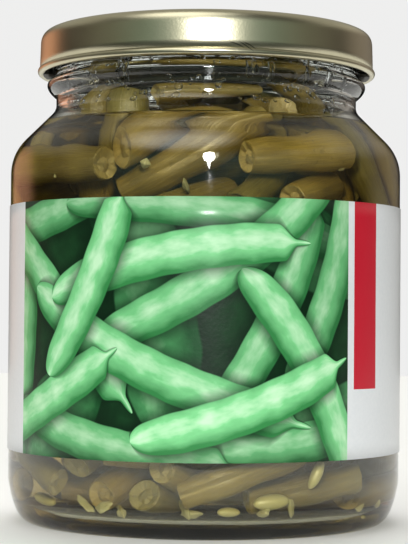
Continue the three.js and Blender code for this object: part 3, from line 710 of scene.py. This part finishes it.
rods = settled_rods()
inner_beans = []
for number, (middle, heading, side, length, radius, curve) in enumerate(zip(*rods)):
    stations = np.linspace(-0.5, 0.5, 4) * length
    points = [middle + curve * (math.sin(s / curve) * heading + (1 - math.cos(s / curve)) * side)
              for s in stations]
    cuts = [heading + rng.normal(0, 0.16, 3) for _ in range(2)]
    inner_beans.append(pod_from(f"inner_pod_{number}", points, 2 * float(radius), cuts,
                                INNER_RINGS, INNER_SIDES))
for number in range(INNER_GROUPS):
    group = joined(f"inner_pods_{number + 1}", inner_beans[number::INNER_GROUPS])
    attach(group, "jar")

# Loose seeds and scraps
# Pale seeds that fell out of the pods and flakes of soft flesh, lying on the bottom and in the gaps. Each
# seed is a smooth kidney, and each scrap a small torn flake.
SCRAP_COUNT = 22
FLOOR_LEVEL = 3.6 * MM
CLEAR_OF_GLASS = 0.15 * MM
seed_skin = cooked("seed_skin", (0.56, 0.46, 0.18), (0.72, 0.60, 0.28), (0.84, 0.73, 0.42), 0.35, 0.2)
scrap_flesh = cooked("scrap_flesh", (0.50, 0.42, 0.20), (0.66, 0.57, 0.32), (0.82, 0.72, 0.46), 0.5, 0.6)


def ball_mesh(name, fineness):
    """A round mesh of unit radius."""
    mesh = bpy.data.meshes.new(name)
    shape = bmesh.new()
    bmesh.ops.create_icosphere(shape, subdivisions=fineness, radius=1)
    shape.to_mesh(mesh)
    shape.free()
    mesh.polygons.foreach_set("use_smooth", [True] * len(mesh.polygons))
    return mesh


def moulded(mesh, change):
    """The mesh with its points (n, 3) changed by a function."""
    points = np.empty(len(mesh.vertices) * 3)
    mesh.vertices.foreach_get("co", points)
    mesh.vertices.foreach_set("co", change(points.reshape(-1, 3)).ravel())
    mesh.update()
    return mesh


for name in sorted(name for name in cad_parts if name.startswith("seed_")):
    corners = cad_rings(name)
    middles = corners.mean(axis=1)
    axis = middles[3] - middles[0]
    long_way = axis / np.linalg.norm(axis)
    across = corners[1][0] - middles[1]
    across -= across @ long_way * long_way
    across /= np.linalg.norm(across)
    half_thick = np.linalg.norm(corners[1] - middles[1], axis=1).mean()
    basis = np.stack([long_way * np.linalg.norm(axis) / 2, across * half_thick,
                      np.cross(long_way, across) * half_thick * 0.85])

    def kidney(points, basis=basis, centre=middles.mean(axis=0)):
        bent = points + np.stack([0 * points[:, 0], 0.28 * points[:, 0] ** 2 - 0.14, 0 * points[:, 0]], 1)
        return bent @ basis * 0.94 + centre

    seed = link("loose_" + name, moulded(ball_mesh("loose_" + name, 4), kidney))
    seed.data.materials.append(seed_skin)
    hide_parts(name)
    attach(seed, "jar")

scraps = []
for number in range(SCRAP_COUNT):
    low = number < SCRAP_COUNT * 0.8
    bearing = rng.uniform(0, 2 * math.pi) if number % 2 else rng.uniform(-1.9, -1.2) + rng.uniform(-0.7, 0.7)
    height = rng.uniform(0.0036, 0.0060) if low else rng.uniform(0.064, 0.077)
    reach = np.interp(height, inner_wall[:, 1], inner_wall[:, 0]) - rng.uniform(0.0016, 0.004)
    size = rng.uniform(0.0006, 0.0017, 3) * (1.3, 0.8, 0.5)
    turn = np.linalg.qr(rng.normal(0, 1, (3, 3)))[0]
    centre = np.array((reach * math.cos(bearing), reach * math.sin(bearing), height))
    phase = rng.uniform(0, 6, 3)

    def torn(points, size=size, turn=turn, centre=centre, phase=phase, inwards=centre * (-1, -1, 0) / reach):
        rough = 1 + 0.13 * np.sin(points * 3.1 + phase).sum(axis=1)
        rough += 0.05 * np.sin(points[:, ::-1] * 7 + phase).sum(axis=1)
        flake = (points * rough[:, None] * size) @ turn + centre
        flake[:, 2] += max(0, FLOOR_LEVEL - flake[:, 2].min())
        wall = np.interp(flake[:, 2], inner_wall[:, 1], inner_wall[:, 0])
        over = np.hypot(flake[:, 0], flake[:, 1]) - wall
        return flake + inwards * max(0, over.max() + CLEAR_OF_GLASS)

    scraps.append(link(f"scrap_{number}", moulded(ball_mesh(f"scrap_{number}", 4), torn)))
    scraps[-1].data.materials.append(scrap_flesh)
flakes = joined("bean_scraps", scraps)
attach(flakes, "jar")

# Brine
# Salted water, tinted by the beans, up to the foot of the neck. It wets the inside of the glass, where its
# edge climbs a little: millimetres in from the wall, and up, for each point of that edge.
CLOUDINESS = 58.0
SOAK = 0.00006
EDGE_CLIMB = [(0.0, 1.1), (0.25, 0.75), (0.8, 0.35), (1.8, 0.1), (3.2, 0.0)]
brine_look, tree, shader, output = material("brine", {
    "Base Color": (0.93, 0.89, 0.72, 1), "Roughness": 0.0, "Transmission Weight": 1, "IOR": 1.34})
relief(tree, shader, grain(tree, 60), 0.12, 0.0004)
lets_light_in(tree, shader, output, (0.95, 0.92, 0.80))
cloudy = node(tree, "ShaderNodeVolumeAbsorption", {"Color": (0.72, 0.62, 0.32, 1), "Density": CLOUDINESS})
tree.links.new(cloudy.outputs[0], output.inputs["Volume"])

wet_wall = [p for p in inner_wall if p[1] < FILL_HEIGHT]
brine_outline = [np.array((0, wet_wall[0][1] - SOAK))]
brine_outline += [p + (SOAK, -SOAK * (p[1] < HEEL_HEIGHT)) for p in wet_wall[1:]]
for back, up in EDGE_CLIMB:
    level = FILL_HEIGHT + up * MM
    wall = np.interp(level, inner_wall[:, 1], inner_wall[:, 0])
    brine_outline.append(np.array((wall + SOAK - back * MM, level)))
brine_outline.append(np.array((0, FILL_HEIGHT)))
brine = link("brine_fill", turned("brine_fill", brine_outline, sides=160))
brine.data.materials.append(brine_look)
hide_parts("brine")
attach(brine, "jar")

# Drops in the headspace
# Water that condensed or splashed on the dry glass above the brine: small domes that cling to the inside.
DROP_COUNT = 1300
DROPS_LOW = 82
DROPS_HIGH = 97.5
DROPS_BAND = 15


def drops_tree():
    """Scatters flattened drops of many sizes over a surface."""
    tree = bpy.data.node_groups.new("drops", "GeometryNodeTree")
    ids = group_inputs(tree, [
        ("surface", "Surface", "Geometry", None), ("density", "Density", "Float", 40000.0),
        ("smallest", "Smallest", "Float", 0.00012), ("largest", "Largest", "Float", 0.0008),
        ("seed", "Seed", "Int", 3), ("water", "Water", "Material", None)])
    tree.interface.new_socket("Drops", in_out="OUTPUT", socket_type="NodeSocketGeometry")
    given = node(tree, "NodeGroupInput").outputs
    spots = node(tree, "GeometryNodeDistributePointsOnFaces", {
        "Mesh": given["Surface"], "Density": given["Density"], "Seed": given["Seed"]})
    pick = node(tree, "FunctionNodeRandomValue", {2: 0.0, 3: 1.0, "Seed": given["Seed"]})
    skew = maths(tree, "POWER", pick.outputs[1], 3.0)
    size = remap(tree, skew, 0.0, 1.0, given["Smallest"], given["Largest"])
    dome = node(tree, "GeometryNodeMeshIcoSphere", {"Radius": 1.0, "Subdivisions": 2})
    flat = node(tree, "GeometryNodeTransform", {"Geometry": dome.outputs[0], "Scale": (1.0, 1.15, 0.45)})
    placed = node(tree, "GeometryNodeInstanceOnPoints", {
        "Points": spots.outputs[0], "Instance": flat.outputs[0], "Rotation": spots.outputs["Rotation"],
        "Scale": size})
    real = node(tree, "GeometryNodeRealizeInstances", {"Geometry": placed.outputs[0]})
    soft = node(tree, "GeometryNodeSetShadeSmooth", {"Geometry": real.outputs[0]})
    wet = node(tree, "GeometryNodeSetMaterial", {"Geometry": soft.outputs[0], "Material": given["Water"]})
    node(tree, "NodeGroupOutput", {"Drops": wet.outputs[0]})
    return tree, ids


water, tree, shader, output = material("water_drops", {
    "Base Color": (0.97, 0.98, 1.0, 1), "Transmission Weight": 1, "IOR": 1.33})
tree.links.new(remap(tree, grain(tree, 300), 0.4, 1.0, 0.0, 0.06), shader.inputs["Roughness"])
lets_light_in(tree, shader, output, (0.98, 0.98, 0.98))
dry_glass = [p for p in inner_wall if DROPS_LOW * MM < p[1] < DROPS_HIGH * MM]
drop_net = turned("headspace_drops", dry_glass, sides=90)
area = 2 * math.pi * bore * MM * DROPS_BAND * MM
headspace = made_by(*drops_tree(), drop_net, "headspace_drops", density=DROP_COUNT / area, smallest=0.00010,
                    largest=0.00085, seed=5, water=water)
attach(headspace, "jar")

# Sealing ring
# A ring of soft compound flowed into the lid's channel, which the rim of the glass presses into.
def speckled(name, plain, scale, first, second):
    """A material in two close colours with fine pores in its surface."""
    made, tree, shader, _ = material(name, plain)
    pores = grain(tree, scale, 4)
    tree.links.new(blend_colours(tree, pores, first, second), shader.inputs["Base Color"])
    relief(tree, shader, pores, 0.2, 0.0002)
    return made


compound = speckled("sealing_compound", {"Roughness": 0.6}, 500, (0.62, 0.60, 0.54), (0.74, 0.72, 0.66))
low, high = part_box("lid_liner")
ring_bottom, ring_top = low[2] / MM, high[2] / MM
liner_outline = [
    *bend(at(29.4, ring_top - 0.2), at(29.4, ring_bottom), at(30.2, ring_bottom + 0.02), 6),
    *bend(at(31.6, ring_bottom + 0.02), at(32.4, ring_bottom), at(32.4, ring_top - 0.3), 6),
    *bend(at(32.3, ring_top - 0.1), at(32.1, ring_top), at(31.8, ring_top), 3),
    at(29.8, ring_top),
]
liner = link("sealing_ring", turned("sealing_ring", liner_outline, sides=160, closed=True))
liner.data.materials.append(compound)
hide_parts("lid_liner")
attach(liner, "seal")

# Lid
# Tinplate pressed into a twist-off lid and lacquered a satin gold: a sunk panel with a vacuum button, a
# rounded rim, a plain skirt, a curled edge, and four lugs pressed in from the curl to grip the thread.
LID_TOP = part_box("lid")[1][2] / MM
LID_RADIUS = 34.2
LID_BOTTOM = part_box("lid")[0][2] / MM
CURL = 0.72
SHEET = 0.35
PANEL = LID_TOP - 1.3
LUGS = 4
LUG_HALF = math.radians(7.5)
# Each scratch: degrees round to the right, height in millimetres, its climb and half its length.
SCRATCHES = [(9.5, 92.9, -0.35, 1.6), (12.5, 92.6, -0.7, 1.5), (13.6, 92.8, -0.5, 1.4)]


def parallel(outline, distance):
    """The outline moved sideways to its left, with points on the axis kept there."""
    outline = np.array(outline)
    way = np.gradient(outline, axis=0)
    way /= np.linalg.norm(way, axis=1)[:, None]
    moved = outline + distance * np.stack([-way[:, 1], way[:, 0]], axis=1)
    on_axis = outline[:, 0] < 1e-9
    moved[on_axis] = outline[on_axis] + (0, distance)
    return list(moved)


lid_outside = [
    at(0, PANEL - 0.5),
    *bend(at(8.2, PANEL - 0.5), at(9.4, PANEL - 0.5), at(9.9, PANEL - 0.25), 4),
    *bend(at(10.2, PANEL - 0.1), at(10.6, PANEL), at(11.6, PANEL), 4),
    *bend(at(23.8, PANEL), at(24.3, PANEL), at(24.6, PANEL + 0.15), 3),
    *bend(at(24.9, PANEL + 0.3), at(25.2, PANEL + 0.3), at(25.6, PANEL + 0.3), 3),
    *bend(at(26.8, PANEL + 0.3), at(27.4, PANEL + 0.3), at(27.7, PANEL + 0.6), 4),
    *bend(at(28.2, LID_TOP - 0.3), at(28.4, LID_TOP), at(29.2, LID_TOP), 4),
    *bend(at(LID_RADIUS - 2.8, LID_TOP), at(LID_RADIUS, LID_TOP), at(LID_RADIUS, LID_TOP - 2.8), 12),
    at(LID_RADIUS + 0.10, LID_BOTTOM + 3),
    at(LID_RADIUS + 0.15, LID_BOTTOM + CURL),
]
curl_middle = at(LID_RADIUS - 0.15, LID_BOTTOM + CURL)
curl_outline = [curl_middle + CURL * MM * np.array((math.cos(a), math.sin(a)))
                for a in np.linspace(0, 2 * math.pi, 18, endpoint=False)]
lug_outline = [at(31.75, LID_BOTTOM + 0.2), at(34.0, LID_BOTTOM + 0.12), at(34.0, LID_BOTTOM + 1.2),
               at(31.75, LID_BOTTOM + 1.2)]

lacquer, tree, shader, _ = material("gold_lacquer", {"Metallic": 1})
where = node(tree, "ShaderNodeTexCoord").outputs["Object"]
split = node(tree, "ShaderNodeSeparateXYZ", {"Vector": where}).outputs
turn = maths(tree, "ARCTAN2", split["X"], times(tree, split["Y"], -1.0))
cloud = grain(tree, 55, 3)
gold = blend_colours(tree, cloud, (0.52, 0.48, 0.33), (0.64, 0.60, 0.44))
for turned_to, height, climb, reach in SCRATCHES:
    side = times(tree, minus(tree, turn, math.radians(turned_to)), LID_RADIUS)
    rise = minus(tree, times(tree, split["Z"], 1 / MM), height)
    bent = times(tree, times(tree, side, side), 0.10)
    off = minus(tree, plus(tree, rise, bent), times(tree, side, climb))
    off = plus(tree, off, times(tree, minus(tree, cloud, 0.5), 0.6))
    width = remap(tree, maths(tree, "ABSOLUTE", off), 0.16, 0.07)
    length = remap(tree, maths(tree, "ABSOLUTE", side), reach, reach * 0.5)
    mark = times(tree, width, length)
    gold = blend_colours(tree, times(tree, mark, 0.85), gold, (0.05, 0.045, 0.04))
tree.links.new(gold, shader.inputs["Base Color"])
tree.links.new(remap(tree, cloud, 0.0, 1.0, 0.25, 0.35), shader.inputs["Roughness"])
relief(tree, shader, grain(tree, 2600), 0.08, 0.0002)

# The coating inside the lid and on its lugs is made near-black as painted shade, for the shadowed inside of the
# lid seen through the neck.
shade_dark_inside_coat = speckled("shade_dark_inside_coating", {"Metallic": 0.3, "Roughness": 0.55}, 180,
                       (0.03, 0.026, 0.02), (0.06, 0.052, 0.04))

sheet = turned("lid_sheet", [*lid_outside, *parallel(lid_outside, -SHEET * MM)[::-1]])
curl = turned("lid_curl", curl_outline, closed=True)
for mesh in (sheet, curl):
    mesh.materials.append(lacquer)
    mesh.materials.append(shade_dark_inside_coat)
for face in sheet.polygons:
    face.material_index = int(face.index >= ROUND_SIDES * len(lid_outside))
lid_parts = [link("lid_sheet", sheet), link("lid_curl", curl)]
for number in range(LUGS):
    middle = number * 2 * math.pi / LUGS
    lug = turned("lug", lug_outline, sides=9, closed=True, span=2 * LUG_HALF)
    ends = bmesh.new()
    ends.from_mesh(lug)
    bmesh.ops.holes_fill(ends, edges=[e for e in ends.edges if e.is_boundary], sides=4)
    bmesh.ops.recalc_face_normals(ends, faces=ends.faces)
    round_to = Matrix.Rotation(middle - LUG_HALF, 3, "Z")
    bmesh.ops.rotate(ends, verts=ends.verts, cent=(0, 0, 0), matrix=round_to)
    ends.to_mesh(lug)
    ends.free()
    lid_parts.append(link(f"lug_{number + 1}", lug))
    lug.materials.append(shade_dark_inside_coat)
lid = joined("twist_off_lid", lid_parts)
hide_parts("lid")
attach(lid, "lid")

# Label
# Gloss-coated paper, one strip glued all the way round and lapped over its own start at the back. A printed
# panel of green pods covers the front, and the rest is white with one plain red strip.
LABEL_LOW, LABEL_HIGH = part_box("label")[0][2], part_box("label")[1][2]
LABEL_INNER = 40.05 * MM
PAPER = 0.12 * MM
LAP = math.radians(16)
LAP_RISE = 0.16 * MM
LABEL_COLUMNS = 260
LABEL_ROWS = 14
PRINT_LEFT, PRINT_RIGHT = math.radians(-61.3), math.radians(42.7)
STRIP_LEFT, STRIP_RIGHT = math.radians(45.2), math.radians(55.6)
STRIP_LOW = 27.9 * MM

label_points, label_faces = [], []
columns = LABEL_COLUMNS + 1
for layer in (0, 1):
    for row in range(LABEL_ROWS + 1):
        height = LABEL_LOW + (LABEL_HIGH - LABEL_LOW) * row / LABEL_ROWS
        for column in range(columns):
            turn = math.pi + (2 * math.pi + LAP) * column / LABEL_COLUMNS
            past = np.clip((turn - 3 * math.pi + math.radians(3)) / math.radians(4), 0, 1)
            cockle = 0.012 * MM * math.sin(turn * 9 + height * 400) * math.sin(height * 260)
            radius = LABEL_INNER + layer * PAPER + LAP_RISE * past + cockle + 0.012 * MM
            label_points.append((radius * math.sin(turn), -radius * math.cos(turn), height))
size = columns * (LABEL_ROWS + 1)
for row in range(LABEL_ROWS):
    for column in range(LABEL_COLUMNS):
        corner = row * columns + column
        quad = (corner, corner + 1, corner + 1 + columns, corner + columns)
        label_faces += [quad, tuple(c + size for c in quad[::-1])]
edge = list(range(columns))
edge += [row * columns + LABEL_COLUMNS for row in range(1, LABEL_ROWS + 1)]
edge += [LABEL_ROWS * columns + column for column in range(LABEL_COLUMNS - 1, -1, -1)]
edge += [row * columns for row in range(LABEL_ROWS - 1, 0, -1)]
for here, there in zip(edge, edge[1:] + edge[:1]):
    label_faces.append((here, there, there + size, here + size))
label = link("paper_label", mesh_of("paper_label", label_points, label_faces))


def printed_pod():
    """Node group: one printed pod at a place on the paper, as a mask, a shadow mask and a shading value."""
    tree = bpy.data.node_groups.new("printed_pod", "ShaderNodeTree")
    for name in ("Across", "Up", "Middle X", "Middle Y", "Angle", "Half length", "Half width", "Bow", "Tip"):
        group_input(tree, name, "NodeSocketFloat", 0.0)
    for name in ("Mask", "Shadow", "Shade"):
        tree.interface.new_socket(name, in_out="OUTPUT", socket_type="NodeSocketFloat")
    given = node(tree, "NodeGroupInput").outputs
    x = minus(tree, given["Across"], given["Middle X"])
    y = minus(tree, given["Up"], given["Middle Y"])
    cosine, sine = maths(tree, "COSINE", given["Angle"]), maths(tree, "SINE", given["Angle"])
    along = plus(tree, times(tree, x, cosine), times(tree, y, sine))
    side = minus(tree, times(tree, y, cosine), times(tree, x, sine))
    share = maths(tree, "DIVIDE", along, given["Half length"])
    square = times(tree, share, share)
    side = minus(tree, side, times(tree, given["Bow"], square))
    beat = maths(tree, "SINE", plus(tree, times(tree, along, 0.95), given["Middle X"]))
    swell = plus(tree, 1.0, times(tree, beat, 0.015))
    blunt = maths(tree, "POWER", maths(tree, "ABSOLUTE", share), given["Tip"])
    width = maths(tree, "SQRT", maths(tree, "MAXIMUM", minus(tree, 1.0, blunt), 0.0001))
    width = times(tree, times(tree, width, given["Half width"]), swell)
    width = times(tree, width, remap(tree, share, 0.78, 0.90, 1.0, 0.24, "SMOOTHSTEP"))
    off = maths(tree, "DIVIDE", side, width)
    far = maths(tree, "ABSOLUTE", off)
    inside = maths(tree, "LESS_THAN", maths(tree, "ABSOLUTE", share), 1.0)
    mask = remap(tree, far, 1.0, 0.94)
    shadow = remap(tree, far, 1.55, 0.9)
    lit = plus(tree, off, -0.22)
    shade = minus(tree, 1.0, times(tree, times(tree, lit, lit), 0.95))
    shade = plus(tree, shade, times(tree, beat, 0.05))
    place = node(tree, "ShaderNodeCombineXYZ", {"X": times(tree, along, 0.16),
                                                "Y": times(tree, off, 1.5), "Z": given["Middle X"]})
    streaks = minus(tree, grain(tree, 2.0, where=place.outputs[0]), 0.5)
    shade = plus(tree, shade, times(tree, streaks, 0.5))
    node(tree, "NodeGroupOutput", {"Mask": times(tree, mask, inside),
                                   "Shadow": times(tree, shadow, inside), "Shade": shade})
    return tree


# Each printed pod: middle across and up in millimetres from the middle of the panel, angle in degrees,
# half length, half width, bow, bluntness of its tips, and how pale its green is. Leaves lie under the pods.
PRINTED_LEAVES = [
    (-27, -19, 40, 19, 8.5, 2, 2.2, -0.55), (24, 17, 150, 20, 8.0, -2, 2.2, -0.45),
    (31, -19, 20, 16, 7.5, 2, 2.2, -0.5), (-8, 20, -60, 18, 7.5, 2, 2.2, -0.6),
    (-2, -2, 100, 17, 8.0, 2, 2.2, -0.6),
]
PRINTED_PODS = [
    (-32, 20, 12, 24, 3.9, 3, 5, 0.10), (8, 22, -9, 30, 3.8, -3, 6, 0.05), (33, 10, 72, 23, 3.9, 3, 6, 0.2),
    (-36, -10, 82, 24, 4.0, 2, 6, 0.25), (17, -22, 5, 30, 3.9, 3, 6, 0.1), (-12, -22, -12, 26, 3.9, 2, 6, 0.15),
    (20, 2, 64, 26, 3.8, 3, 6, 0.25), (-25, 6, -44, 28, 4.0, -3, 7, 0.45), (12, 12, 36, 30, 4.1, 4, 7, 0.5),
    (-3, -8, -24, 32, 4.1, 3, 7, 0.65), (28, -8, -60, 24, 4.0, -3, 6, 0.7), (-29, -15, 26, 22, 3.9, 2, 6, 0.75),
    (0, 14, 11, 27, 4.0, -3, 6, 0.85), (-16, 8, 64, 20, 3.8, 2, 6, 0.8), (15, -15, 20, 23, 4.0, 2, 6, 0.95),
]
LEAF_WIDTH_FROM = 6

paper, tree, shader, _ = material("printed_paper", {
    "Roughness": 0.36, "Specular IOR Level": 0.16, "Coat Weight": 0.22, "Coat Roughness": 0.13})
where = node(tree, "ShaderNodeTexCoord").outputs["Object"]
split = node(tree, "ShaderNodeSeparateXYZ", {"Vector": where}).outputs
turn = maths(tree, "ARCTAN2", split["X"], times(tree, split["Y"], -1.0))
centre_turn = (PRINT_LEFT + PRINT_RIGHT) / 2
across = times(tree, minus(tree, turn, centre_turn), LABEL_INNER / MM)
up = minus(tree, times(tree, split["Z"], 1 / MM), (LABEL_LOW + LABEL_HIGH) / 2 / MM)
patch, fine, wide = grain(tree, 260, 4), grain(tree, 1400, 3), grain(tree, 70)
uneven = minus(tree, plus(tree, patch, wide), 1.0)
print_colour = blend_colours(tree, patch, (0.002, 0.012, 0.005), (0.010, 0.06, 0.018))
pod_group = printed_pod()


def tone_of(pale, dark, light):
    """The colour between a dark and a light one for how pale a printed pod is."""
    return tuple(float(np.interp(pale, (-1, 1), pair)) for pair in zip(dark, light))


for x, y, angle, half_length, half_width, bow, tip, pale in PRINTED_LEAVES + PRINTED_PODS:
    pod = node(tree, "ShaderNodeGroup")
    pod.node_tree = pod_group
    for key, value in (("Across", across), ("Up", up)):
        tree.links.new(value, pod.inputs[key])
    for key, value in (("Middle X", x), ("Middle Y", y), ("Angle", math.radians(angle)), ("Bow", bow),
                       ("Half length", half_length), ("Half width", half_width), ("Tip", tip)):
        pod.inputs[key].default_value = value
    is_leaf = half_width > LEAF_WIDTH_FROM
    darker = times(tree, pod.outputs["Shadow"], 0.85)
    print_colour = blend_colours(tree, darker, print_colour, (0.002, 0.014, 0.005))
    shade = plus(tree, pod.outputs["Shade"], times(tree, uneven, 0.7 if is_leaf else 0.25))
    deep = tone_of(pale, (0.003, 0.03, 0.010), (0.04, 0.25, 0.07))
    middle = tone_of(pale, (0.015, 0.13, 0.035), (0.24, 0.71, 0.30))
    bright = tone_of(pale, (0.07, 0.30, 0.10), (0.62, 0.94, 0.62))
    skin_colour = blend_colours(tree, remap(tree, shade, 0.0, 0.85), deep, middle)
    skin_colour = blend_colours(tree, remap(tree, shade, 0.80, 1.12), skin_colour, bright)
    print_colour = blend_colours(tree, pod.outputs["Mask"], print_colour, skin_colour)


def between(tree, value, low, high):
    """1 where the value lies between two limits."""
    past_low, short_of_high = maths(tree, "GREATER_THAN", value, low), maths(tree, "LESS_THAN", value, high)
    return times(tree, past_low, short_of_high)


white = blend_colours(tree, fine, (0.72, 0.74, 0.77), (0.80, 0.81, 0.83))
in_panel = between(tree, turn, PRINT_LEFT, PRINT_RIGHT)
in_strip = times(tree, between(tree, turn, STRIP_LEFT, STRIP_RIGHT),
                 maths(tree, "GREATER_THAN", split["Z"], STRIP_LOW))
colour = blend_colours(tree, in_panel, white, print_colour)
colour = blend_colours(tree, in_strip, colour, (0.55, 0.012, 0.03))
tree.links.new(colour, shader.inputs["Base Color"])
relief(tree, shader, plus(tree, fine, times(tree, patch, 2.0)), 0.10, 0.0002)
label.data.materials.append(paper)
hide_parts("label")
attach(label, "jar")
